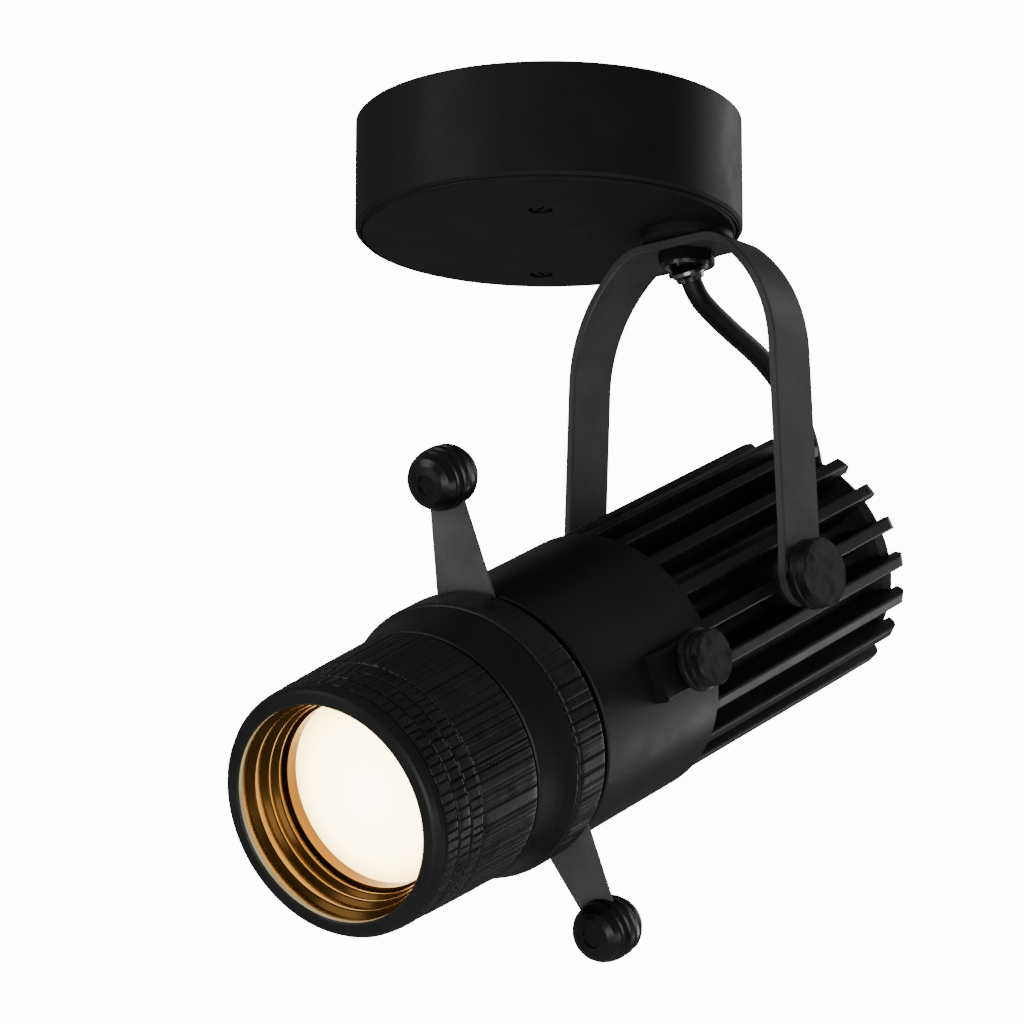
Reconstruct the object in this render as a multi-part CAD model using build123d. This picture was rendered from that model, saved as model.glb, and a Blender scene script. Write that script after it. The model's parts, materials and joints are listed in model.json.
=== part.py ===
from build123d import *
import math
import os

os.makedirs("parts", exist_ok=True)

# ------------------------------------------------------------------ sizes, mm
# The origin is the centre of the canopy's ceiling face; +Z is up, the lamp
# hangs below, +X runs from the canopy centre to the swivel.
CANOPY_R = 63.5          # 127 mm (5 in) canopy
CANOPY_H = 38.5
CANOPY_WALL = 1.8
PLATE_T = 3.0            # cover plate
BRACKET_T = 2.0          # ceiling bracket, top face at the ceiling
BOX_WIDE = 88.9          # 3.5 in between ceiling-box screws
BOX_NARROW = 69.8        # 2.75 in
BOX_X = 6.5
WIRE_Y = -13.0
PAN_X = 45.0             # swivel axis from the canopy centre
PIVOT_DROP = 121.0       # tilt pivots below the cover plate
HEADING = 50.5           # yaw of the head at rest, from -X towards -Y
TILT = 27.0              # optical axis below the horizontal at rest
AXIS_DROP = 6.3          # optical axis below the tilt pivots

BAR_W = 19.0             # yoke flat bar
BAR_T = 3.0
ARM_IN = 42.2            # inner face of each arm from the mid plane

SINK_R = 41.7            # finned heat sink, tip radius
SINK_CORE_R = 32.0
FINS = 20
FIN_T = 4.4
S_REAR = -63.5           # stations along the optical axis, from the pivots
S_SINK = 52.0
BARREL_R = 42.6
BARREL_IN = 40.0
S_SLOT_A = 113.2
S_SLOT_B = 116.4
RING_R = 43.8            # ribbed zoom ring
S_RING_END = 130.0
S_NECK_END = 146.3
FOCUS_R = 40.3
S_FOCUS = 146.8
S_KNURL = 173.6
KNURL_W = 5.9
S_BEZEL = 191.4
S_FRONT = 196.0
OPEN_R = 33.4
LENS_R = 30.0
S_LENS = 177.1
GATE_R = 20.0
CORD_D = 6.9

ZP = -(CANOPY_H)                      # underside of the cover plate
PIVOT_Z = ZP - PIVOT_DROP
th = math.radians(HEADING)
tl = math.radians(TILT)
H = Vector(-math.cos(th), -math.sin(th), 0)       # heading, horizontal
P = Vector(math.sin(th), -math.cos(th), 0)        # tilt axis
B = H * math.cos(tl) + Vector(0, 0, -math.sin(tl))  # optical axis, forwards
U = H * math.sin(tl) + Vector(0, 0, math.cos(tl))   # up, across the optical axis
PIVOT = Vector(PAN_X, 0, PIVOT_Z)
AXIS0 = PIVOT - U * AXIS_DROP
YOKE = Plane(origin=(PAN_X, 0, ZP), x_dir=P, z_dir=(0, 0, 1))   # x = P, y = -H
HEAD = Plane(origin=AXIS0, x_dir=P, z_dir=B)                    # x = P, y = U, z = B


def save(name, shape):
    solids = shape.solids()
    out = solids[0] if len(solids) == 1 else Compound(children=list(solids))
    out.label = name
    export_step(out, "parts/%s.step" % name)
    print("%-22s solids %d volume %.1f mm3" % (name, len(solids), sum(s.volume for s in solids)))
    return out


def put(name, shape, plane=None):
    return save(name, shape if plane is None else plane.location * shape)


def rev(pts):
    """Solid of revolution about local Z from (radius, station) points."""
    return revolve(make_face(Plane.XZ * Polyline(*[(r, z) for r, z in pts], close=True)), Axis.Z)


def tube(r_in, r_out, z0, z1, ch=0.0):
    if ch:
        return rev([(r_in, z0), (r_out - ch, z0), (r_out, z0 + ch), (r_out, z1 - ch), (r_out - ch, z1), (r_in, z1)])
    return rev([(r_in, z0), (r_out, z0), (r_out, z1), (r_in, z1)])


def rod(r, z0, z1):
    return Pos(0, 0, z0) * Cylinder(r, z1 - z0, align=(Align.CENTER, Align.CENTER, Align.MIN))


def block(x0, x1, y0, y1, z0, z1):
    return Pos((x0 + x1) / 2, (y0 + y1) / 2, (z0 + z1) / 2) * Box(x1 - x0, y1 - y0, z1 - z0)


def along_x(shape, side=1):
    """Turn a local-Z solid so that its Z runs along +X (or -X)."""
    return Rot(0, 90 * side, 0) * shape


def hexagon(af, z0, z1, r_in):
    s = extrude(Plane.XY.offset(z0) * RegularPolygon(af / 2, 6, major_radius=False), z1 - z0)
    cone = rev([(0, z0), (af / 2 * 1.03, z0), (af / 2 * 1.16, z0 + 1.2), (af / 2 * 1.16, z1 - 1.2), (af / 2 * 1.03, z1), (0, z1)])
    return (s & cone) - rod(r_in, z0 - 1, z1 + 1)


# ------------------------------------------------------------------ canopy
R = CANOPY_R
ri = R - CANOPY_WALL
shell = rev([(ri, ZP + 0.4), (R - 1.5, ZP + 0.4), (R - 1.5, ZP + 0.9), (R - 0.9, ZP + 1.0), (R, ZP + 2.0), (R, -0.6), (R - 0.6, 0),
             (R - 9, 0), (R - 9, -1.8), (ri, -1.8), (ri, ZP + 6.0), (ri - 1.6, ZP + 5.0), (ri - 1.6, ZP + PLATE_T + 0.1), (ri, ZP + PLATE_T + 0.1)])
put("canopy_shell", shell)

SCREWS = [(-2.7, -27.6), (-2.7, 46.0)]
plate = rev([(0, ZP), (ri - 1.2, ZP), (ri - 0.5, ZP + 0.7), (ri - 0.5, ZP + PLATE_T), (0, ZP + PLATE_T)])
for sx, sy in SCREWS:
    plate -= Pos(sx, sy, 0) * rod(4.0, ZP - 1, ZP + 2.0)
    plate -= Pos(sx, sy, 0) * rod(2.1, ZP - 1, ZP + 5)
plate -= Pos(PAN_X, 0, 0) * rod(6.6, ZP - 1, ZP + 5)
put("cover_plate", plate)

for k, (sx, sy) in enumerate(SCREWS):
    s = rev([(0, ZP + 0.5), (2.7, ZP + 0.5), (3.5, ZP + 1.2), (3.5, ZP + 2.0), (1.9, ZP + 2.0), (1.9, ZP + 9.0), (0, ZP + 9.0)])
    s -= block(-2.6, 2.6, -0.45, 0.45, ZP, ZP + 1.3)
    s -= block(-0.45, 0.45, -2.6, 2.6, ZP, ZP + 1.3)
    put("cover_screw_%d" % (k + 1), Pos(sx, sy, 0) * Rot(0, 0, 25 + 40 * k) * s)
    post = rod(4.0, ZP + PLATE_T, -BRACKET_T) - rod(1.95, ZP, ZP + 9.2)
    put("standoff_%d" % (k + 1), Pos(sx, sy, 0) * post)

bar = block(-12, 12, -53.5, 53.5, -BRACKET_T, 0)
bar = fillet(bar.edges().filter_by(Axis.Z), 5)
for sy in (-BOX_WIDE / 2, BOX_WIDE / 2, -BOX_NARROW / 2, BOX_NARROW / 2):
    bar -= Pos(BOX_X, sy, 0) * rod(2.3, -4, 1)
bar -= Pos(0, WIRE_Y, 0) * rod(5.0, -4, 1)      # supply wire hole
put("ceiling_bracket", bar)

drv = fillet(block(-52, -16, -31, 31, ZP + PLATE_T, ZP + PLATE_T + 25).edges(), 1.5)
put("led_driver", drv)
term = block(12, 26, -18, 8, ZP + PLATE_T, ZP + PLATE_T + 14)
for k in range(3):
    term -= Pos(19, -13.5 + 8.5 * k, 0) * rod(2.2, ZP + PLATE_T + 9, ZP + 30)
    term -= Pos(26, -13.5 + 8.5 * k, ZP + PLATE_T + 5) * Box(9, 4, 4)
put("terminal_block", term)

boss = rev([(6.03, ZP - 3.2), (14.2, ZP - 3.2), (15.2, ZP - 2.4), (15.2, ZP), (6.5, ZP), (6.5, ZP + PLATE_T + 1.5), (6.03, ZP + PLATE_T + 1.5)])
put("swivel_boss", Pos(PAN_X, 0, 0) * boss)

# ------------------------------------------------------------------ yoke
# local: x along the tilt axis, y = -heading, z = up, origin on the pan axis at
# the underside of the cover plate
zt = -3.4                                    # top face of the strap


def arc_pts(x0, z0, a0, a1, r, n):
    """Walk an arc: heading angle below horizontal goes a0 -> a1 degrees."""
    cx = x0 - r * math.sin(math.radians(a0))
    cz = z0 - r * math.cos(math.radians(a0))
    out = []
    for i in range(1, n + 1):
        a = math.radians(a0 + (a1 - a0) * i / n)
        out.append((cx + r * math.sin(a), cz + r * math.cos(a)))
    return out


r1, r2, a1, a2 = 17.5, 51.5, 38.0, 87.6
o1 = (12.0, zt)
e1 = arc_pts(*o1, 0, a1, r1, 1)[0]
m1 = arc_pts(*o1, 0, a1 / 2, r1, 1)[0]
e2 = arc_pts(*e1, a1, a2, r2, 1)[0]
m2 = arc_pts(*e1, a1, (a1 + a2) / 2, r2, 1)[0]
xo = ARM_IN + BAR_T                            # outer face of the straight legs
zs = e2[1] - (xo - e2[0]) * math.tan(math.radians(a2))   # the legs set straight here
if zs < -PIVOT_DROP + 14:
    zs = -PIVOT_DROP + 14
zend = -PIVOT_DROP - BAR_W / 2
outer = [Line((0, zt), o1), ThreePointArc(o1, m1, e1), ThreePointArc(e1, m2, e2), Line(e2, (xo, zs)), Line((xo, zs), (xo, zend))]
i_o1 = (12.0, zt - BAR_T)
i_m1 = arc_pts(12.0, zt - BAR_T, 0, a1 / 2, r1 - BAR_T, 1)[0]
i_e1 = arc_pts(12.0, zt - BAR_T, 0, a1, r1 - BAR_T, 1)[0]
i_m2 = arc_pts(*i_e1, a1, (a1 + a2) / 2, r2 - BAR_T, 1)[0]
i_e2 = arc_pts(*i_e1, a1, a2, r2 - BAR_T, 1)[0]
inner = [Line((ARM_IN, zend), (ARM_IN, zs)), Line((ARM_IN, zs), i_e2), ThreePointArc(i_e2, i_m2, i_e1), ThreePointArc(i_e1, i_m1, i_o1), Line(i_o1, (0, zt - BAR_T))]
prof = Wire(outer + [Line((xo, zend), (ARM_IN, zend))] + inner + [Line((0, zt - BAR_T), (0, zt))])
half_bar = extrude(Plane.XZ * make_face(prof), BAR_W / 2, both=True)
yoke = half_bar + mirror(half_bar, Plane.YZ)
# rounded lower ends, pivot holes, centre hole
end_round = Pos(0, 0, -PIVOT_DROP) * (Rot(0, 90, 0) * Cylinder(BAR_W / 2, 200)) + Pos(0, 0, -PIVOT_DROP + 100) * Box(200, BAR_W, 200)
yoke = yoke & end_round
yoke -= Pos(0, 0, -PIVOT_DROP) * (Rot(0, 90, 0) * Cylinder(4.08, 200))
yoke -= rod(6.0, zt - 10, zt + 5)
long_edges = [e for e in yoke.edges() if abs(abs(e.center().Y) - BAR_W / 2) < 0.01 and e.length > 5 and abs(e.center().Z + PIVOT_DROP) > 12]
try:
    yoke = chamfer(long_edges, 0.45)
except Exception as ex:
    print("yoke chamfer skipped", ex)
put("yoke_bar", yoke, YOKE)

stem = rev([(4.2, 7.5), (10.5, 7.5), (10.5, 4.8), (5.95, 4.8), (5.95, -10.6), (4.2, -10.6)])
put("swivel_stem", stem, YOKE)
put("swivel_nut", hexagon(17.4, zt - BAR_T - 4.2, zt - BAR_T, 6.0), YOKE)
g = math.radians(30)
GRIP = Plane(origin=YOKE.from_local_coords(Vector(0, -0.1, -10.9)), x_dir=P, z_dir=(H * (-math.sin(g)) + Vector(0, 0, -math.cos(g))))
put("swivel_washer", rev([(4.2, -10.6), (7.2, -10.6), (7.2, -11.4), (4.2, -11.4)]), YOKE)
grip = rev([(3.7, 0.8), (6.6, 0.8), (6.6, 1.9), (5.6, 2.2), (5.2, 3.0), (4.9, 3.2), (4.5, 4.6), (3.7, 4.6)])
grip = GRIP.location * grip
cut = YOKE.location * rod(20, -11.45, 20)
put("cord_grip", grip - cut)
put("friction_disc", Pos(PAN_X, 0, 0) * tube(6.7, 10.4, ZP + PLATE_T + 0.02, ZP + 4.7))

# ------------------------------------------------------------------ heat sink
def polar(r, deg):
    return (r * math.cos(math.radians(deg)), r * math.sin(math.radians(deg)))


def turn2(pt, deg):
    c, s_ = math.cos(math.radians(deg)), math.sin(math.radians(deg))
    return (pt[0] * c - pt[1] * s_, pt[0] * s_ + pt[1] * c)


edges2 = []
RF = 2.6                                        # root fillet of each channel
RT = 1.0                                        # rounded fin tips
hw = FIN_T / 2
rc = SINK_CORE_R + RF
cx = math.sqrt(rc ** 2 - (hw + RF) ** 2)
t_side = (cx, hw)
t_core = (cx * SINK_CORE_R / rc, (hw + RF) * SINK_CORE_R / rc)
v1 = (0.0, -RF)
v2 = (t_core[0] - cx, t_core[1] - (hw + RF))
vm = (v1[0] + v2[0], v1[1] + v2[1])
vl = math.hypot(*vm)
t_mid = (cx + RF * vm[0] / vl, hw + RF + RF * vm[1] / vl)
core_ang = math.degrees(math.atan2(t_core[1], t_core[0]))
q = RT * (1 - math.sqrt(0.5))
step = 360.0 / FINS
for k in range(FINS):
    a = step / 2 + step * k
    T = lambda p_: turn2(p_, a)
    neg = lambda p_: (p_[0], -p_[1])
    edges2 += [ThreePointArc(T(neg(t_core)), T(neg(t_mid)), T(neg(t_side))),
               Line(T(neg(t_side)), T((SINK_R - RT, -hw))),
               ThreePointArc(T((SINK_R - RT, -hw)), T((SINK_R - q, -hw + q)), T((SINK_R, -hw + RT))),
               Line(T((SINK_R, -hw + RT)), T((SINK_R, hw - RT))),
               ThreePointArc(T((SINK_R, hw - RT)), T((SINK_R - q, hw - q)), T((SINK_R - RT, hw))),
               Line(T((SINK_R - RT, hw)), T(t_side)),
               ThreePointArc(T(t_side), T(t_mid), T(t_core)),
               ThreePointArc(T(t_core), polar(SINK_CORE_R, a + step / 2), turn2(neg(t_core), a + step))]
sk = make_face(Wire(edges2))
sink = Pos(0, 0, S_REAR) * extrude(sk, S_SINK - S_REAR)
env = rev([(0, S_REAR), (SINK_R - 3.2, S_REAR), (SINK_R - 1.6, S_REAR + 0.5), (SINK_R - 0.5, S_REAR + 1.6), (SINK_R + 0.01, S_REAR + 3.4), (SINK_R + 0.01, S_SINK), (0, S_SINK)])
sink = sink & env
flare = rev([(0, -60.2), (37.4, -60.2), (37.4, -59.3), (35.4, -57.6), (33.6, -54.6), (32.4, -50.6), (31.0, -45.0), (0, -45.0)])
sink = (sink - rod(37.4, S_REAR - 1, -60.2)) + (flare)
spigot = rod(39.93, S_SINK, S_SINK + 10)
sink = sink + spigot
sink -= rod(25.0, -70, 22.0)                    # rear chamber behind the LED web
sink -= rod(33.2, -60.5, -58.0)                 # seat of the rear cap
sink -= rod(25.0, 30.0, 70)                     # front chamber
for side in (1, -1):
    b_ = Pos(0, AXIS_DROP, 0) * along_x(rod(8.4, 27.5, 40.6), side)
    sink -= Pos(0, AXIS_DROP, 0) * along_x(rod(9.7, 40.55, 60), side)
    sink = sink + b_
    sink -= Pos(0, AXIS_DROP, 0) * along_x(rod(4.0, 26.0, 60), side)
for k in range(3):
    sink -= Rot(0, 0, 90 + 120 * k) * Pos(29.2, 0, 0) * rod(1.5, -60, -52)
put("heat_sink", sink, HEAD)

for side, nm in ((1, "right"), (-1, "left")):
    stud = Pos(0, AXIS_DROP, 0) * along_x(rod(3.98, 27.0, 52.6), side)
    put("pivot_stud_" + nm, stud, HEAD)
    w_in = Pos(0, AXIS_DROP, 0) * along_x(tube(4.05, 9.0, 40.65, 42.1), side)
    put("friction_washer_" + nm, w_in, HEAD)
    kn = rev([(4.06, 45.5), (9.6, 45.5), (10.2, 45.9), (10.2, 46.8), (9.7, 47.1), (9.7, 47.7), (11.2, 48.0), (11.3, 48.6), (11.3, 49.6),
              (10.9, 50.0), (10.9, 50.5), (11.1, 50.9), (11.1, 53.6), (10.4, 54.4), (0, 54.4), (0, 53.0), (4.06, 53.0)])
    put("pivot_knob_" + nm, Pos(0, AXIS_DROP, 0) * along_x(kn, side), HEAD)

cap = rev([(0, -60.9), (32.4, -60.9), (33.0, -60.3), (33.0, -58.05), (0, -58.05)])
cap -= Pos(0, -4.0, 0) * rod(4.6, -70, -50)
for k in range(3):
    cap -= Rot(0, 0, 90 + 120 * k) * Pos(29.2, 0, 0) * rod(1.7, -70, -50)
put("rear_cap", cap, HEAD)
for k in range(3):
    s = Rot(0, 0, 90 + 120 * k) * Pos(29.2, 0, 0) * rev([(0, -62.3), (2.0, -62.3), (2.8, -61.7), (2.8, -60.92), (1.45, -60.92), (1.45, -53.0), (0, -53.0)])
    s -= Rot(0, 0, 90 + 120 * k) * Pos(29.2, 0, -62.3) * Box(4.2, 0.8, 1.4)
    put("cap_screw_%d" % (k + 1), s, HEAD)
gland = Pos(0, -4.0, 0) * rev([(3.7, -62.4), (8.5, -62.4), (8.5, -60.92), (4.5, -60.92), (4.5, -56.0), (3.7, -56.0)])
elbow = Pos(0, -4.0, 0) * (Pos(0, 0, -64.0) * Sphere(7.4)) - Pos(0, -4.0, 0) * rod(20, -62.4, -40)
EL = Plane(origin=(0, -4.0, -64.0), x_dir=(1, 0, 0), z_dir=(0, math.sin(math.radians(47)), -math.cos(math.radians(47))))
elbow = elbow + EL.location * rod(6.4, 3.0, 9.5)
elbow -= EL.location * rod(3.72, 0.0, 20)
elbow -= Pos(0, -4.0, 0) * rod(3.72, -65.0, -50)
put("rear_gland_body", gland + elbow, HEAD)
put("rear_gland_nut", EL.location * (hexagon(14.6, 9.55, 14.2, 3.72) + rev([(3.72, 14.2), (6.4, 14.2), (5.4, 16.6), (3.72, 16.6)])), HEAD)

# light engine
put("led_board", rod(22.0, 30.02, 31.6), HEAD)
put("led_emitter", rod(9.0, 31.62, 33.0), HEAD)
hold = tube(9.4, 22.0, 31.62, 35.2)
for k in range(2):
    hold -= Rot(0, 0, 45 + 180 * k) * Pos(17, 0, 0) * rod(1.6, 30, 40)
put("led_holder", hold, HEAD)
refl = rev([(9.9, 35.25), (12.0, 35.25), (17.5, 43.0), (21.0, 52.0), (23.6, 61.0), (23.6, 62.0), (22.2, 62.0), (19.4, 52.0), (16.0, 43.6)])
put("reflector", refl, HEAD)

# ------------------------------------------------------------------ barrel
BS = 68.5                                       # station of the lock knob
sleeve = tube(BARREL_IN, BARREL_R, S_SINK + 0.35, S_SLOT_A, 0.5)
sleeve -= Pos(0, 0, BS) * along_x(rod(2.7, 30, 60))
put("barrel_sleeve", sleeve, HEAD)
blk = block(41.0, 46.9, -7.7, 7.7, 59.0, 86.4)
blk = fillet(blk.edges().filter_by(Axis.Z).filter_by(lambda e: e.center().X > 45), 1.2)
blk -= rod(BARREL_R + 0.03, 40, 120)
blk -= Pos(0, 0, BS) * along_x(rod(2.62, 30, 60))
put("lock_block", blk, HEAD)
lk = rev([(0, 40.45), (2.55, 40.45), (2.55, 47.2), (9.3, 47.2), (9.9, 47.8), (9.9, 49.2), (9.2, 49.6), (8.5, 49.8), (8.5, 50.4), (8.9, 50.7), (8.9, 51.5),
          (8.4, 51.8), (8.4, 52.4), (8.8, 52.7), (8.8, 54.3), (8.1, 55.0), (0, 55.0)])
put("lock_knob", Pos(0, 0, BS) * along_x(lk), HEAD)

# shutters: pin position, slot direction, handle direction in (p, u), station
UP = dict(pin=(5.2, 36.2), az=math.degrees(math.atan2(36.2, 5.2)), hd=82.4, s=113.65, carrier=-1)
LO = dict(pin=(14.7, -25.9), az=math.degrees(math.atan2(-25.9, 14.7)), hd=-80.9, s=115.05, carrier=1)
BLADE_T = 0.9
KNOB_AT = 41.9


def slot_for(d, z0, z1):
    s = block(23.4, 38.6, -1.75, 1.75, z0, z1)
    s = fillet(s.edges().filter_by(Axis.Z), 1.7)
    return Rot(0, 0, d["az"]) * s


gate_rear = tube(GATE_R, BARREL_IN - 0.02, S_SLOT_A - 2.2, S_SLOT_A) - slot_for(UP, 105, 120)
put("gate_plate", gate_rear, HEAD)

front = tube(GATE_R, BARREL_IN, S_SLOT_B, S_SLOT_B + 1.8)
front = front + tube(36.9, BARREL_IN - 0.05, S_SLOT_B + 1.8, S_RING_END + 0.3)
neck = rev([(34.7, S_RING_END + 0.3), (43.0, S_RING_END + 0.3), (43.1, S_RING_END + 1.0), (42.5, S_RING_END + 2.6), (41.6, S_RING_END + 5.5),
            (41.0, S_RING_END + 9.0), (40.6, S_RING_END + 12.5), (40.3, S_NECK_END - 0.4), (39.8, S_NECK_END), (34.7, S_NECK_END)])
front = front + neck + tube(34.7, 36.6, S_NECK_END, 170.0)
for k in (0, 180):
    post = rev([(38.3, S_SLOT_A), (BARREL_IN - 0.05, S_SLOT_A), (BARREL_IN - 0.05, S_SLOT_B), (38.3, S_SLOT_B)])
    wedge = extrude(Plane.XY.offset(S_SLOT_A - 0.0) * make_face(Polyline((0, 0), (60, -16), (60, 16), close=True)), S_SLOT_B - S_SLOT_A)
    front = front + (Rot(0, 0, k) * (post & wedge))
front -= slot_for(LO, 110, 125)
put("front_housing", front, HEAD)

for nm, d in (("upper", UP), ("lower", LO)):
    px, py = d["pin"]
    z0 = d["s"]
    z1 = z0 + BLADE_T
    blade = block(-15.0, -1.0, -18.5, 18.5, z0, z1)
    blade = fillet(blade.edges().filter_by(Axis.Z), 2.0)
    hp = Polyline((-3.0, -11.4), (5.6, -10.6), (KNOB_AT - 6.5, -6.3), (KNOB_AT + 3, -4.2), (KNOB_AT + 3, 4.2), (KNOB_AT - 6.5, 6.3), (5.6, 10.6), (-3.0, 11.4), close=True)
    handle = extrude(Plane.XY.offset(z0) * make_face(hp), BLADE_T)
    sh = blade + handle
    sh -= rod(1.56, z0 - 1, z1 + 1)
    placed = Pos(px, py, 0) * Rot(0, 0, d["hd"]) * sh
    put("shutter_%s" % nm, placed, HEAD)
    zm = (z0 + z1) / 2
    # rubber knob: a grooved barrel, axis parallel to the optical axis
    kb = rev([(0, -8.6), (5.6, -8.6), (7.6, -7.6), (8.9, -5.6), (9.35, -4.6), (8.8, -4.1), (8.8, -3.7), (9.5, -3.2), (9.75, -1.6), (9.2, -1.2), (9.2, -0.8),
              (9.75, -0.4), (9.75, 1.4), (9.2, 1.8), (9.2, 2.2), (9.6, 2.7), (9.3, 4.2), (8.8, 4.6), (8.7, 5.1), (8.9, 5.5), (7.8, 7.4), (5.8, 8.4), (3.2, 8.6), (3.0, 7.9), (0, 7.9)])
    slot_cut = block(-20, 3.05, -6.4, 6.4, z0 - zm - 0.01, z1 - zm + 0.01)
    kb = Pos(KNOB_AT, 0, zm) * (kb - slot_cut)
    put("shutter_knob_%s" % nm, Pos(px, py, 0) * Rot(0, 0, d["hd"]) * kb, HEAD)
    # carrier block with its stub, behind (or in front of) the gate plate
    if d["carrier"] < 0:
        cb = block(-3.8, 2.7, -3.0, 3.0, S_SLOT_A - 4.0, S_SLOT_A - 2.3) + rod(1.5, S_SLOT_A - 3.0, z1 + 0.25)
    else:
        cb = block(-3.8, 2.7, -3.0, 3.0, S_SLOT_B + 1.9, S_SLOT_B + 3.6) + rod(1.5, z0 - 0.25, S_SLOT_B + 3.0)
    put("shutter_carrier_%s" % nm, Pos(px, py, 0) * Rot(0, 0, d["az"]) * cb, HEAD)

# zoom ring: ribbed all round
zr = rev([(BARREL_IN + 0.04, S_SLOT_B + 0.35), (RING_R - 0.5, S_SLOT_B + 0.35), (RING_R, S_SLOT_B + 0.9), (RING_R, S_RING_END - 1.0), (RING_R - 0.6, S_RING_END), (BARREL_IN + 0.04, S_RING_END)])
put("zoom_ring", zr, HEAD)

zc = tube(26.0, 34.4, 128.0, 141.0) - tube(26.0, 31.6, 131.0, 138.6)
put("zoom_carriage", zc - tube(25.0, 31.62, 131.0, 138.6), HEAD)
zl = rev([(0, 131.05), (31.55, 131.05), (31.55, 133.0), (24.0, 136.2), (12.0, 138.2), (0, 138.5)])
put("zoom_lens", zl & rod(31.55, 131.05, 138.55), HEAD)

# focus barrel and its three knurled bands
fb = rev([(36.68, S_FOCUS), (FOCUS_R - 0.5, S_FOCUS), (FOCUS_R, S_FOCUS + 0.5), (FOCUS_R - 0.7, S_KNURL - 0.1), (37.9, S_KNURL - 0.1), (37.9, S_KNURL + 3 * KNURL_W),
          (36.68, S_KNURL + 3 * KNURL_W)])
put("focus_barrel", fb, HEAD)
for k in range(3):
    z0 = S_KNURL + 0.15 + k * KNURL_W
    rr = FOCUS_R - 0.8 - 0.15 * k
    put("grip_band_%d" % (k + 1), rev([(37.92, z0), (rr - 0.5, z0), (rr, z0 + 0.5), (rr, z0 + KNURL_W - 0.8), (rr - 0.5, z0 + KNURL_W - 0.3), (37.92, z0 + KNURL_W - 0.3)]), HEAD)
bz = rev([(36.78, S_BEZEL), (38.6, S_BEZEL), (38.95, S_BEZEL + 0.4), (38.7, S_BEZEL + 2.4), (37.9, S_FRONT - 0.7), (37.1, S_FRONT), (34.0, S_FRONT), (OPEN_R, S_FRONT - 0.5), (OPEN_R, S_FRONT - 2.0), (36.78, S_FRONT - 2.0)])
put("front_bezel", bz, HEAD)
hood = [(36.66, 178.8)]
hood += [(36.66, S_FRONT - 2.05), (33.4, S_FRONT - 2.05)]
rings = [(31.9, 189.3), (30.7, 184.3), (29.8, 180.6)]
z_hi = S_FRONT - 2.05
prev = 33.4
for rr, zz in rings:
    hood += [(prev + 0.25, z_hi - 1.6), (prev + 0.6, zz + 1.5), (rr + 0.3, zz + 0.6), (rr, zz + 0.2), (rr, zz - 0.3)]
    prev = rr
    z_hi = zz + 1.0
hood += [(30.3, 179.6), (30.3, 178.8)]
put("baffle_hood", rev(hood), HEAD)

cell = rev([(27.4, 152.0), (34.6, 152.0), (34.6, 177.2), (33.6, 178.2), (30.4, 178.2), (30.4, 169.0), (27.4, 169.0)])
put("lens_cell", cell, HEAD)
fl = rev([(0, 169.05), (30.3, 169.05), (30.3, 173.2), (22.0, 175.6), (11.0, 176.9), (0, 177.3)])
put("front_lens", fl, HEAD)
put("lens_retainer", rev([(28.9, 173.75), (30.35, 173.35), (30.35, 177.9), (28.9, 177.9)]), HEAD)


# ------------------------------------------------------------------ power cord
def route_pt(a, d, off=0.0):
    """a: distance back from the pan axis, d: below the cover plate, off: along P."""
    return Vector(PAN_X, 0, ZP) - H * a + P * off + Vector(0, 0, -d)


gland_end = HEAD.from_local_coords(EL.location.position + EL.z_dir * 16.7)
g_out = (HEAD.from_local_coords(EL.location.position + EL.z_dir * 30) - gland_end).normalized()
c0 = GRIP.origin + GRIP.z_dir * 4.65
aG = -(gland_end - Vector(PAN_X, 0, ZP)).dot(H)
dG = -(gland_end.Z - ZP)
print("gland end a %.2f d %.2f  out %s" % (aG, dG, g_out))
print("grip end a %.2f d %.2f" % (-(c0 - Vector(PAN_X, 0, ZP)).dot(H), -(c0.Z - ZP)))
gl_next = gland_end + g_out * 8.0
mid = [route_pt(*q) for q in ((14.4, 24.9, 0.6), (25.0, 29.2, 1.0), (36.5, 33.0, 1.0), (48.0, 38.6, 0.5), (59.6, 47.4, -0.2), (66.6, 57.6, -0.6), (69.1, 68.4, -0.5))]
route = [c0, c0 + GRIP.z_dir * 5.6] + mid + [gl_next, gland_end]
runs = [(route[i + 1] - route[i]).length for i in range(len(route) - 1)]
radii = []
for i in range(1, len(route) - 1):
    v0 = route[i] - route[i - 1]
    v1 = route[i + 1] - route[i]
    turn = math.radians(v0.get_angle(v1))
    radii.append(0.45 * min(v0.length, v1.length) / math.tan(turn / 2))
cord_path = FilletPolyline(*route, radius=radii)
sec = Plane(origin=cord_path @ 0, z_dir=cord_path % 0) * Circle(CORD_D / 2)
cord = sweep(sec, path=cord_path)
print("cord runs", [round(x, 1) for x in runs])
print("cord radii", [round(x, 1) for x in radii])
print("cord length %.1f volume %.1f section x length %.1f" % (cord_path.length, cord.volume, math.pi * CORD_D ** 2 / 4 * cord_path.length))
print("cord route m", [tuple(round(c / 1000, 6) for c in v) for v in route])
save("power_cord", cord)
print("axes: P", tuple(round(v, 6) for v in P), "H", tuple(round(v, 6) for v in H), "B", tuple(round(v, 6) for v in B), "U", tuple(round(v, 6) for v in U))
print("pivot", tuple(round(v, 4) for v in PIVOT), "axis0", tuple(round(v, 4) for v in AXIS0))
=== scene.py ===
import json
import math

import bmesh
import bpy
import numpy as np
from mathutils import Matrix, Vector


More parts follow.
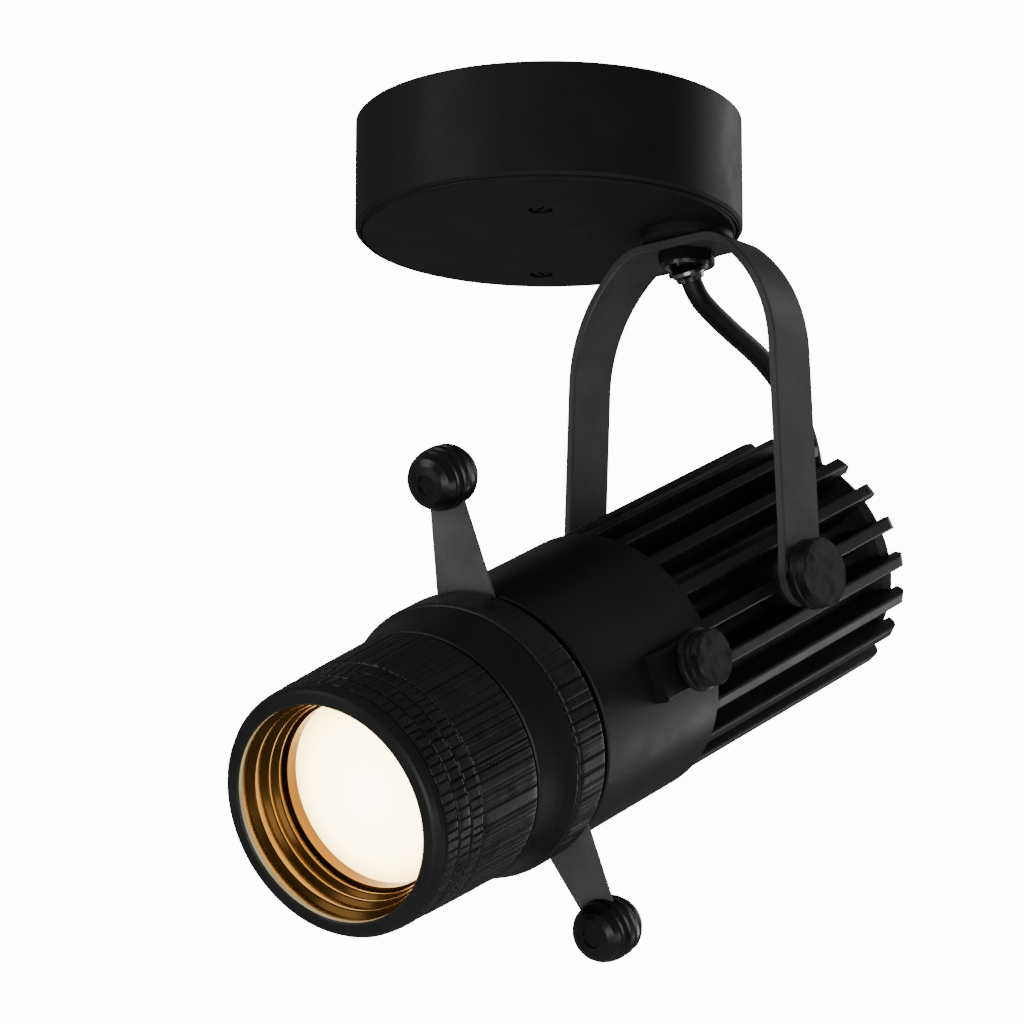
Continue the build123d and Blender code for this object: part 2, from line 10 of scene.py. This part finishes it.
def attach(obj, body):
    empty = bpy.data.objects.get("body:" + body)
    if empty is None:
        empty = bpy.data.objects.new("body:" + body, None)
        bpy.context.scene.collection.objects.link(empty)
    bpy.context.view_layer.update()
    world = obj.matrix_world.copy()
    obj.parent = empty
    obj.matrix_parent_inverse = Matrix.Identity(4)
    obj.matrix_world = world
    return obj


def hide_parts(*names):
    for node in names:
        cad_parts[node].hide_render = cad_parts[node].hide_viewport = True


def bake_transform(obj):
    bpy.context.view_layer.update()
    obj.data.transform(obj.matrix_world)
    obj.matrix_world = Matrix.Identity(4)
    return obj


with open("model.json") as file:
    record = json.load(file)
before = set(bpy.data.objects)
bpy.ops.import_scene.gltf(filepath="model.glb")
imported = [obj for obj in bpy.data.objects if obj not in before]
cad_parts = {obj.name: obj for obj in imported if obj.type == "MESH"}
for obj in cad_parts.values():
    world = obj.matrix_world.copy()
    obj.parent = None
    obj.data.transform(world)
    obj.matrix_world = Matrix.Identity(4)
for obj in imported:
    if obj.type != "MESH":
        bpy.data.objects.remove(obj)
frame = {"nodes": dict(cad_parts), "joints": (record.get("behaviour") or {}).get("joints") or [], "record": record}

NODES = frame["nodes"]
JOINT = {j["name"]: j for j in frame["joints"]}
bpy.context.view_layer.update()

# ------------------------------------------------------------------ frames
P = Vector(JOINT["tilt"]["axis"]).normalized()          # tilt axis
B = Vector(JOINT["focus_turn"]["axis"]).normalized()    # optical axis, forwards
U = B.cross(P).normalized()
A0 = Vector(JOINT["tilt"]["pos_m"]) - U * 0.0063        # optical axis below the pivots
HEAD = Matrix((
    (P.x, U.x, B.x, A0.x),
    (P.y, U.y, B.y, A0.y),
    (P.z, U.z, B.z, A0.z),
    (0, 0, 0, 1),
))


# ------------------------------------------------------------------ camera
cam_data = bpy.data.cameras.new("camera")
cam_data.sensor_width = 36.0
cam_data.lens = 169.93
cam_data.clip_end = 50.0
cam = bpy.data.objects.new("camera", cam_data)
bpy.context.scene.collection.objects.link(cam)
cam.location = (0.0, -1.5164, -0.4980)
look = Vector((-0.00777, 0.97201, 0.23479)).normalized()
cam.rotation_euler = look.to_track_quat("-Z", "Y").to_euler()
bpy.context.scene.camera = cam


# ------------------------------------------------------------------ mesh helpers
def new_object(name, verts, faces, smooth=True, sharp=35.0):
    me = bpy.data.meshes.new(name)
    me.from_pydata([tuple(v) for v in verts], [], faces)
    me.validate()
    bm = bmesh.new()
    bm.from_mesh(me)
    bmesh.ops.recalc_face_normals(bm, faces=bm.faces)
    bm.to_mesh(me)
    bm.free()
    if smooth:
        me.polygons.foreach_set("use_smooth", [True] * len(me.polygons))
        me.set_sharp_from_angle(angle=math.radians(sharp))
    ob = bpy.data.objects.new(name, me)
    bpy.context.scene.collection.objects.link(ob)
    return ob


def lathe(name, prof, n, shape=None, sharp=35.0):
    """Closed ring about the optical axis from a closed (radius, station) loop in
    millimetres. shape(theta, radius, station, index) may change the radius."""
    m = len(prof)
    th = np.linspace(0, 2 * np.pi, n, endpoint=False)
    verts = np.zeros((n, m, 3))
    for k, (r, s) in enumerate(prof):
        rr = np.full(n, float(r)) if shape is None else shape(th, r, s, k)
        verts[:, k, 0] = rr * np.cos(th)
        verts[:, k, 1] = rr * np.sin(th)
        verts[:, k, 2] = s
    pts = verts.reshape(-1, 3) / 1000.0
    M = np.array(HEAD)
    pts = pts @ M[:3, :3].T + M[:3, 3]
    faces = []
    for i in range(n):
        j = (i + 1) % n
        for k in range(m):
            l = (k + 1) % m
            faces.append((i * m + k, j * m + k, j * m + l, i * m + l))
    return new_object(name, pts, faces, sharp=sharp)


def ribs(n, mean_deg, groove_deg, seed, depth, fade=None):
    """Radial cut (0 on a rib's top) at n angles, for irregular axial ribs."""
    rng = np.random.RandomState(seed)
    count = int(round(360.0 / mean_deg))
    w = rng.uniform(0.6, 1.4, count)
    edges = np.cumsum(w) / w.sum() * 360.0
    d = rng.uniform(depth[0], depth[1], count)
    gw = groove_deg * rng.uniform(0.75, 1.3, count)
    top = rng.uniform(0.0, 0.12, count)
    a = np.arange(n) * 360.0 / n
    idx = np.searchsorted(edges, a, side="right") % count
    cut = top[idx].copy()
    for e, di, gi in zip(edges, d, gw):
        x = np.abs((a - e + 180.0) % 360.0 - 180.0) / gi
        cut = np.maximum(cut, di * np.clip(1.0 - x, 0, 1) ** 0.8)
    if fade is not None:
        cut = cut * fade(a)
    return cut


# ------------------------------------------------------------------ material helpers
def node(nt, kind, **kw):
    nd = nt.nodes.new(kind)
    for k, v in kw.items():
        setattr(nd, k, v)
    return nd


def finish_material(name, colour, rough, metallic=0.0, grain=1800.0, bump=0.15, spread=0.25, cloud=55.0,
                    rough_var=0.08, coat=0.0, stretch=None, specular=None, dist=0.00012):
    """Painted or moulded surface: two-scale noise in colour and roughness, a fine
    grain in the bump. grain and cloud are noise scales per metre."""
    mat = bpy.data.materials.new(name)
    mat.use_nodes = True
    nt = mat.node_tree
    bsdf = nt.nodes["Principled BSDF"]
    tc = node(nt, "ShaderNodeTexCoord")
    src = tc.outputs["Object"]
    if stretch is not None:
        mp = node(nt, "ShaderNodeMapping")
        mp.inputs["Scale"].default_value = stretch
        nt.links.new(src, mp.inputs["Vector"])
        src_grain = mp.outputs["Vector"]
    else:
        src_grain = src
    n1 = node(nt, "ShaderNodeTexNoise")
    n1.inputs["Scale"].default_value = cloud
    n1.inputs["Detail"].default_value = 4.0
    nt.links.new(src, n1.inputs["Vector"])
    n2 = node(nt, "ShaderNodeTexNoise")
    n2.inputs["Scale"].default_value = grain
    n2.inputs["Detail"].default_value = 2.0
    nt.links.new(src_grain, n2.inputs["Vector"])
    ramp = node(nt, "ShaderNodeValToRGB")
    lo = [c * (1 - spread) for c in colour]
    hi = [min(1.0, c * (1 + spread)) for c in colour]
    ramp.color_ramp.elements[0].position = 0.3
    ramp.color_ramp.elements[0].color = (*lo, 1)
    ramp.color_ramp.elements[1].position = 0.7
    ramp.color_ramp.elements[1].color = (*hi, 1)
    nt.links.new(n1.outputs["Fac"], ramp.inputs["Fac"])
    nt.links.new(ramp.outputs["Color"], bsdf.inputs["Base Color"])
    mr = node(nt, "ShaderNodeMapRange")
    mr.inputs["From Min"].default_value = 0.3
    mr.inputs["From Max"].default_value = 0.7
    mr.inputs["To Min"].default_value = max(0.02, rough - rough_var)
    mr.inputs["To Max"].default_value = min(1.0, rough + rough_var)
    nt.links.new(n1.outputs["Fac"], mr.inputs["Value"])
    nt.links.new(mr.outputs["Result"], bsdf.inputs["Roughness"])
    bp = node(nt, "ShaderNodeBump")
    bp.inputs["Strength"].default_value = bump
    bp.inputs["Distance"].default_value = dist
    nt.links.new(n2.outputs["Fac"], bp.inputs["Height"])
    nt.links.new(bp.outputs["Normal"], bsdf.inputs["Normal"])
    bsdf.inputs["Metallic"].default_value = metallic
    if specular is not None:
        bsdf.inputs["Specular IOR Level"].default_value = specular
    if coat:
        bsdf.inputs["Coat Weight"].default_value = coat
        bsdf.inputs["Coat Roughness"].default_value = 0.2
    return mat


BLACK = (0.0125, 0.0125, 0.013)
M = {
    "black_paint": finish_material("canopy_paint", (0.0085, 0.0085, 0.0088), 0.55, grain=2600, bump=0.25),
    "barrel_paint": finish_material("barrel_paint_satin", (0.011, 0.011, 0.0115), 0.42, grain=3200, bump=0.18),
    "yoke_paint": finish_material("yoke_paint_satin", (0.085, 0.085, 0.086), 0.44, grain=2800, bump=0.25),
    "shutter_paint": finish_material("shutter_paint_matte", (0.14, 0.14, 0.142), 0.5, grain=2600, bump=0.25),
    "bezel_paint": finish_material("bezel_paint_satin", (0.013, 0.013, 0.0135), 0.42, grain=3000, bump=0.15),
    "black_anodised": finish_material("sink_anodised", (0.013, 0.013, 0.0134), 0.40, metallic=0.0, grain=2400, bump=0.2, spread=0.2, rough_var=0.06),
    "black_steel": finish_material("black_steel", (0.02, 0.02, 0.021), 0.33, metallic=0.6, grain=2400, bump=0.12),
    "steel": finish_material("bright_steel", (0.5, 0.5, 0.51), 0.24, metallic=1.0, grain=1500, bump=0.08, stretch=(1, 1, 6)),
    "grip_ring": finish_material("grip_metal", (0.32, 0.32, 0.33), 0.24, metallic=1.0, grain=1500, bump=0.08),
    "zinc_steel": finish_material("zinc_steel", (0.55, 0.56, 0.57), 0.35, metallic=1.0, grain=700, bump=0.1, spread=0.18),
    "driver_case": finish_material("driver_case", (0.7, 0.7, 0.68), 0.5, grain=1600, bump=0.1, spread=0.04),
    "terminal": finish_material("terminal_plastic", (0.75, 0.74, 0.7), 0.45, grain=1600, bump=0.1, spread=0.04),
    "black_moulding": finish_material("black_moulding", (0.011, 0.011, 0.0115), 0.5, grain=1900, bump=0.3),
    "barrel_moulding": finish_material("barrel_moulding", (0.021, 0.021, 0.0215), 0.36, grain=1500, bump=0.45, cloud=160, rough_var=0.12),
    "knob_moulding": finish_material("knob_moulding", (0.017, 0.017, 0.0175), 0.36, grain=900, bump=0.3, cloud=260, spread=0.45, rough_var=0.12),
    "white_moulding": finish_material("white_moulding", (0.75, 0.75, 0.73), 0.45, grain=1400, bump=0.1, spread=0.03),
    "knob_rubber": finish_material("knob_rubber", (0.007, 0.007, 0.0072), 0.28, grain=1100, bump=0.25, cloud=220, rough_var=0.08, coat=0.2),
    "cord_jacket": finish_material("cord_jacket", (0.0125, 0.0125, 0.013), 0.5, grain=1600, bump=0.3),
    "nylon": finish_material("nylon", (0.02, 0.02, 0.021), 0.45, grain=1200, bump=0.1, spread=0.15),
    "led_board": finish_material("led_board", (0.78, 0.78, 0.76), 0.4, grain=1500, bump=0.08, spread=0.03),
    "led_phosphor": finish_material("led_phosphor", (0.8, 0.6, 0.12), 0.5, grain=2500, bump=0.3, spread=0.1),
    "reflector": finish_material("reflector_bright", (0.82, 0.82, 0.83), 0.12, metallic=1.0, grain=900, bump=0.05, spread=0.03, rough_var=0.04),
}


def lens_material():
    """Lit front lens: warm white, a little brighter towards the rim, seen through glass."""
    mat = bpy.data.materials.new("front_lens_lit")
    mat.use_nodes = True
    nt = mat.node_tree
    bsdf = nt.nodes["Principled BSDF"]
    tc = node(nt, "ShaderNodeTexCoord")
    sub = node(nt, "ShaderNodeVectorMath", operation="SUBTRACT")
    sub.inputs[1].default_value = tuple(A0)
    nt.links.new(tc.outputs["Object"], sub.inputs[0])
    crs = node(nt, "ShaderNodeVectorMath", operation="CROSS_PRODUCT")
    crs.inputs[1].default_value = tuple(B)
    nt.links.new(sub.outputs["Vector"], crs.inputs[0])
    ln = node(nt, "ShaderNodeVectorMath", operation="LENGTH")
    nt.links.new(crs.outputs["Vector"], ln.inputs[0])
    noise = node(nt, "ShaderNodeTexNoise")
    noise.inputs["Scale"].default_value = 90.0
    noise.inputs["Detail"].default_value = 2.0
    nt.links.new(tc.outputs["Object"], noise.inputs["Vector"])
    mix = node(nt, "ShaderNodeMath", operation="MULTIPLY_ADD")
    mix.inputs[1].default_value = 0.0012
    nt.links.new(noise.outputs["Fac"], mix.inputs[0])
    nt.links.new(ln.outputs["Value"], mix.inputs[2])
    mr = node(nt, "ShaderNodeMapRange")
    mr.inputs["From Min"].default_value = 0.0
    mr.inputs["From Max"].default_value = 0.0305
    nt.links.new(mix.outputs["Value"], mr.inputs["Value"])
    ramp = node(nt, "ShaderNodeValToRGB")
    e = ramp.color_ramp.elements
    e[0].position, e[0].color = 0.0, (1.0, 0.91, 0.66, 1)
    e[1].position, e[1].color = 1.0, (0.46, 0.32, 0.10, 1)
    m1 = ramp.color_ramp.elements.new(0.72)
    m1.color = (0.80, 0.65, 0.34, 1)
    m2 = ramp.color_ramp.elements.new(0.88)
    m2.color = (0.62, 0.46, 0.19, 1)
    nt.links.new(mr.outputs["Result"], ramp.inputs["Fac"])
    nt.links.new(ramp.outputs["Color"], bsdf.inputs["Emission Color"])
    nt.links.new(ramp.outputs["Color"], bsdf.inputs["Base Color"])
    bsdf.inputs["Emission Strength"].default_value = 13.0
    bsdf.inputs["Roughness"].default_value = 0.12
    bp = node(nt, "ShaderNodeBump")
    bp.inputs["Strength"].default_value = 0.05
    bp.inputs["Distance"].default_value = 0.0001
    nt.links.new(noise.outputs["Fac"], bp.inputs["Height"])
    nt.links.new(bp.outputs["Normal"], bsdf.inputs["Normal"])
    return mat


def glass_material():
    mat = finish_material("inner_lens_glass", (0.95, 0.96, 0.97), 0.04, grain=400, bump=0.02, spread=0.02, rough_var=0.015)
    b = mat.node_tree.nodes["Principled BSDF"]
    b.inputs["Transmission Weight"].default_value = 1.0
    b.inputs["IOR"].default_value = 1.52
    return mat


LIT_LENS = lens_material()
M["lens_glass"] = glass_material()
# the moulded hood round the lens is satin black; its amber metallic colour is a painted reflection of the warm lamp,
# tinting all its reflections amber
M["hood"] = finish_material("hood_black_painted_amber_reflection", (0.12, 0.056, 0.009), 0.2, metallic=0.85, grain=1400, bump=0.1, spread=0.25, rough_var=0.05)

slots = {s["node"]: s["material_slot"] for s in frame["record"]["subparts"]}
for name, ob in NODES.items():
    mat = M[slots[name]]
    if name == "front_lens":
        mat = LIT_LENS
    elif name in ("baffle_hood", "lens_retainer", "lens_cell"):
        mat = M["hood"]
    ob.data.materials.clear()
    ob.data.materials.append(mat)


# ------------------------------------------------------------------ power cord
# route in metres, the same points as the solid's
ROUTE = [
    (0.046415, 0.001717, -0.053427), (0.048196, 0.003877, -0.058277), (0.054623, 0.01073, -0.0634),
    (0.061674, 0.018655, -0.0677), (0.068988, 0.027528, -0.0715), (0.075918, 0.03672, -0.0771),
    (0.082756, 0.046116, -0.0859), (0.0869, 0.051772, -0.0961), (0.088567, 0.053637, -0.1069),
    (0.088577, 0.052863, -0.115879), (0.087174, 0.051162, -0.123569),
]
CORD_R = 0.00345


def route_curve(name, pts, bevel=0.0):
    cu = bpy.data.curves.new(name, "CURVE")
    cu.dimensions = "3D"
    sp = cu.splines.new("NURBS")
    sp.points.add(len(pts) - 1)
    for p, co in zip(sp.points, pts):
        p.co = (*co, 1.0)
    sp.order_u = 3
    sp.use_endpoint_u = True
    sp.resolution_u = 16
    cu.bevel_depth = bevel
    ob = bpy.data.objects.new(name, cu)
    bpy.context.scene.collection.objects.link(ob)
    return ob


guide = route_curve("cord_guide", ROUTE)
bpy.context.view_layer.update()
line = bpy.data.meshes.new_from_object(guide)
path = [Vector(v.co) for v in line.vertices]
bpy.data.objects.remove(guide)
cord_len = sum((path[i + 1] - path[i]).length for i in range(len(path) - 1))


def tube_along(name, pts, radius, sides=36):
    verts, faces = [], []
    t0 = (pts[1] - pts[0]).normalized()
    nrm = t0.orthogonal().normalized()
    for i, p in enumerate(pts):
        a = pts[max(0, i - 1)]
        b = pts[min(len(pts) - 1, i + 1)]
        t = (b - a).normalized()
        nrm = (nrm - t * nrm.dot(t)).normalized()
        bi = t.cross(nrm)
        for k in range(sides):
            w = 2 * math.pi * k / sides
            verts.append(p + (nrm * math.cos(w) + bi * math.sin(w)) * radius)
    for i in range(len(pts) - 1):
        for k in range(sides):
            l = (k + 1) % sides
            faces.append((i * sides + k, i * sides + l, (i + 1) * sides + l, (i + 1) * sides + k))
    faces.append(tuple(range(sides))[::-1])
    faces.append(tuple((len(pts) - 1) * sides + k for k in range(sides)))
    return new_object(name, verts, faces, sharp=60)


cord = tube_along("supply_cord", path, CORD_R)
cord.data.materials.append(M["cord_jacket"])
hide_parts("power_cord")
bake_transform(cord)


# ------------------------------------------------------------------ ribbed zoom ring
def top_fade(lo):
    """Ribs grow shallow over the top of the ring."""
    def f(a):
        d = np.abs((a - 90.0 + 180.0) % 360.0 - 180.0)
        t = np.clip((d - 50.0) / 26.0, 0, 1)
        return lo + (1 - lo) * t * t * (3 - 2 * t)
    return f


N_RING = 1440
zoom_cut = np.maximum(ribs(N_RING, 6.3, 0.75, 11, (0.45, 0.75)), ribs(N_RING, 2.1, 0.6, 12, (0.08, 0.3)))
zoom_cut = zoom_cut * top_fade(0.12)(np.arange(N_RING) * 360.0 / N_RING)
R = 43.8
zoom_prof = [(40.04, 116.75), (42.9, 116.75), (43.3, 116.85), (43.62, 117.15), (43.77, 117.6), (R, 118.1), (R, 120.0), (R, 122.5), (R, 125.0),
             (R, 127.4), (R, 128.5), (43.72, 129.2), (43.45, 129.7), (43.1, 129.95), (42.6, 130.0), (40.04, 130.0)]


def zoom_shape(th, r, s, k):
    rr = np.full(len(th), float(r))
    if r > 42.4:
        amt = min(1.0, max(0.0, (s - 116.9) / 0.9), max(0.0, (130.0 - s) / 0.8) + 0.25)
        rr = rr - zoom_cut * amt
    return rr


zoom = lathe("zoom_ring_ribbed", zoom_prof, N_RING, zoom_shape, sharp=40)
zoom.data.materials.append(M["barrel_moulding"])
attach(zoom, "zoom_ring")
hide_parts("zoom_ring")

# ------------------------------------------------------------------ ribbed focus barrel
focus_cut = np.maximum(ribs(N_RING, 5.6, 0.7, 21, (0.35, 0.62)), ribs(N_RING, 2.4, 0.7, 22, (0.12, 0.4)))
F = 40.3
focus_prof = [(36.68, 146.8), (39.3, 146.8), (39.75, 146.95), (40.05, 147.3), (40.2, 147.8), (40.2, 150.0), (40.1, 155.0), (40.0, 160.0), (39.9, 165.0),
              (39.75, 170.0), (39.68, 172.2), (39.6, 173.0), (39.2, 173.35), (38.6, 173.5), (37.9, 173.5), (37.9, 191.3), (36.68, 191.3)]


def focus_shape(th, r, s, k):
    rr = np.full(len(th), float(r))
    if r > 38.9 and s < 173.6:
        amt = min(1.0, max(0.0, (s - 146.85) / 0.8), max(0.0, (173.5 - s) / 0.6))
        wander = 0.06 * np.sin(th * 7 + s * 0.35) * np.sin(th * 23 - s * 0.21)
        rr = rr - (focus_cut + np.abs(wander)) * amt
    return rr


focus = lathe("focus_barrel_ribbed", focus_prof, N_RING, focus_shape, sharp=40)
focus.data.materials.append(M["barrel_moulding"])
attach(focus, "focus_barrel")
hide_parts("focus_barrel")

# ------------------------------------------------------------------ knurled grip bands
for b in range(3):
    z0 = 173.6 + 0.15 + b * 5.9
    z1 = z0 + 5.6
    rr0 = F - 0.8 - 0.15 * b
    rng = np.random.RandomState(31 + b)
    count = 84
    w = rng.uniform(0.75, 1.25, count)
    edges = (np.cumsum(w) / w.sum() * 360.0 + b * 2.1) % 360.0
    edges.sort()
    a = np.arange(N_RING) * 360.0 / N_RING
    idx = np.searchsorted(edges, a, side="right") % count
    hgt = rng.uniform(0.0, 0.32, count)[idx]
    gap = np.zeros(N_RING)
    for e in edges:
        x = np.abs((a - e + 180.0) % 360.0 - 180.0) / 0.62
        gap = np.maximum(gap, np.clip(1 - x, 0, 1) ** 0.7)
    tilt = rng.uniform(-0.12, 0.12, count)[idx]

    def band_shape(th, r, s, k, z0=z0, z1=z1, hgt=hgt, gap=gap, tilt=tilt, rr0=rr0):
        rr = np.full(len(th), float(r))
        if r > 38.2:
            u = (s - z0) / (z1 - z0)
            edge = min(1.0, u / 0.12, (1 - u) / 0.12)
            rr = rr - (hgt + np.abs(tilt * (u - 0.5))) * max(0.2, edge) - gap * 0.55 * max(0.35, edge)
            rr = np.maximum(rr, 37.98)
        return rr

    prof = [(37.92, z0), (rr0 - 0.8, z0), (rr0 - 0.35, z0 + 0.12), (rr0 - 0.08, z0 + 0.4), (rr0, z0 + 0.8), (rr0, z0 + 1.8), (rr0, z0 + 2.8),
            (rr0, z0 + 3.8), (rr0, z0 + 4.7), (rr0 - 0.08, z1 - 0.4), (rr0 - 0.35, z1 - 0.12), (rr0 - 0.8, z1), (37.92, z1)]
    band = lathe("grip_band_knurled_%d" % (b + 1), prof, N_RING, band_shape, sharp=40)
    band.data.materials.append(M["barrel_moulding"])
    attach(band, "focus_barrel")
    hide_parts("grip_band_%d" % (b + 1))


# ------------------------------------------------------------------ stage
def stage_plane(name, size, loc, colour):
    me = bpy.data.meshes.new(name)
    h = size / 2
    me.from_pydata([(-h, -h, 0), (h, -h, 0), (h, h, 0), (-h, h, 0)], [], [(0, 1, 2, 3)])
    ob = bpy.data.objects.new(name, me)
    bpy.context.scene.collection.objects.link(ob)
    ob.location = loc
    mat = finish_material(name + "_paint", colour, 0.8, grain=60, bump=0.05, spread=0.01, cloud=2.0)
    nt = mat.node_tree
    glow = nt.nodes.new("ShaderNodeEmission")
    glow.inputs["Color"].default_value = (1.0, 1.0, 1.0, 1.0)
    glow.inputs["Strength"].default_value = 1.6
    path_in = nt.nodes.new("ShaderNodeLightPath")
    pick = nt.nodes.new("ShaderNodeMixShader")
    both = nt.nodes.new("ShaderNodeAddShader")
    base = nt.nodes["Principled BSDF"].outputs["BSDF"]
    nt.links.new(base, both.inputs[0])
    nt.links.new(glow.outputs["Emission"], both.inputs[1])
    nt.links.new(path_in.outputs["Is Camera Ray"], pick.inputs["Fac"])
    nt.links.new(base, pick.inputs[1])
    nt.links.new(both.outputs["Shader"], pick.inputs[2])
    nt.links.new(pick.outputs["Shader"], nt.nodes["Material Output"].inputs["Surface"])
    me.materials.append(mat)
    return ob


floor = stage_plane("floor", 12.0, (0, 0, -1.25), (0.85, 0.85, 0.85))

world = bpy.data.worlds.new("studio")
bpy.context.scene.world = world
world.use_nodes = True
wn = world.node_tree
for nd in list(wn.nodes):
    wn.nodes.remove(nd)
out = wn.nodes.new("ShaderNodeOutputWorld")
seen = wn.nodes.new("ShaderNodeBackground")
seen.inputs["Color"].default_value = (1, 1, 1, 1)
seen.inputs["Strength"].default_value = 14.0
amb = wn.nodes.new("ShaderNodeBackground")
amb.inputs["Color"].default_value = (1, 1, 1, 1)
amb.inputs["Strength"].default_value = 0.12
lp = wn.nodes.new("ShaderNodeLightPath")
mx = wn.nodes.new("ShaderNodeMixShader")
wn.links.new(lp.outputs["Is Camera Ray"], mx.inputs["Fac"])
wn.links.new(amb.outputs["Background"], mx.inputs[1])
wn.links.new(seen.outputs["Background"], mx.inputs[2])
wn.links.new(mx.outputs["Shader"], out.inputs["Surface"])


def area(name, loc, target, size, power, colour=(1, 1, 1)):
    ld = bpy.data.lights.new(name, "AREA")
    ld.shape = "RECTANGLE"
    ld.size, ld.size_y = size
    ld.energy = power
    ld.color = colour
    ob = bpy.data.objects.new(name, ld)
    bpy.context.scene.collection.objects.link(ob)
    ob.location = loc
    ob.rotation_euler = (Vector(target) - Vector(loc)).to_track_quat("-Z", "Y").to_euler()
    return ob


mid = (0.0, 0.0, -0.15)
area("key_low_right", (0.9, -0.9, -0.95), mid, (0.6, 0.6), 1.5)
area("fill_left", (-1.2, -0.7, -0.1), mid, (0.5, 1.4), 4)
area("front_low", (-0.15, -1.4, -1.0), mid, (0.9, 0.9), 6.5)
area("rim_right_back", (1.0, 0.8, 0.1), mid, (0.4, 1.2), 4)
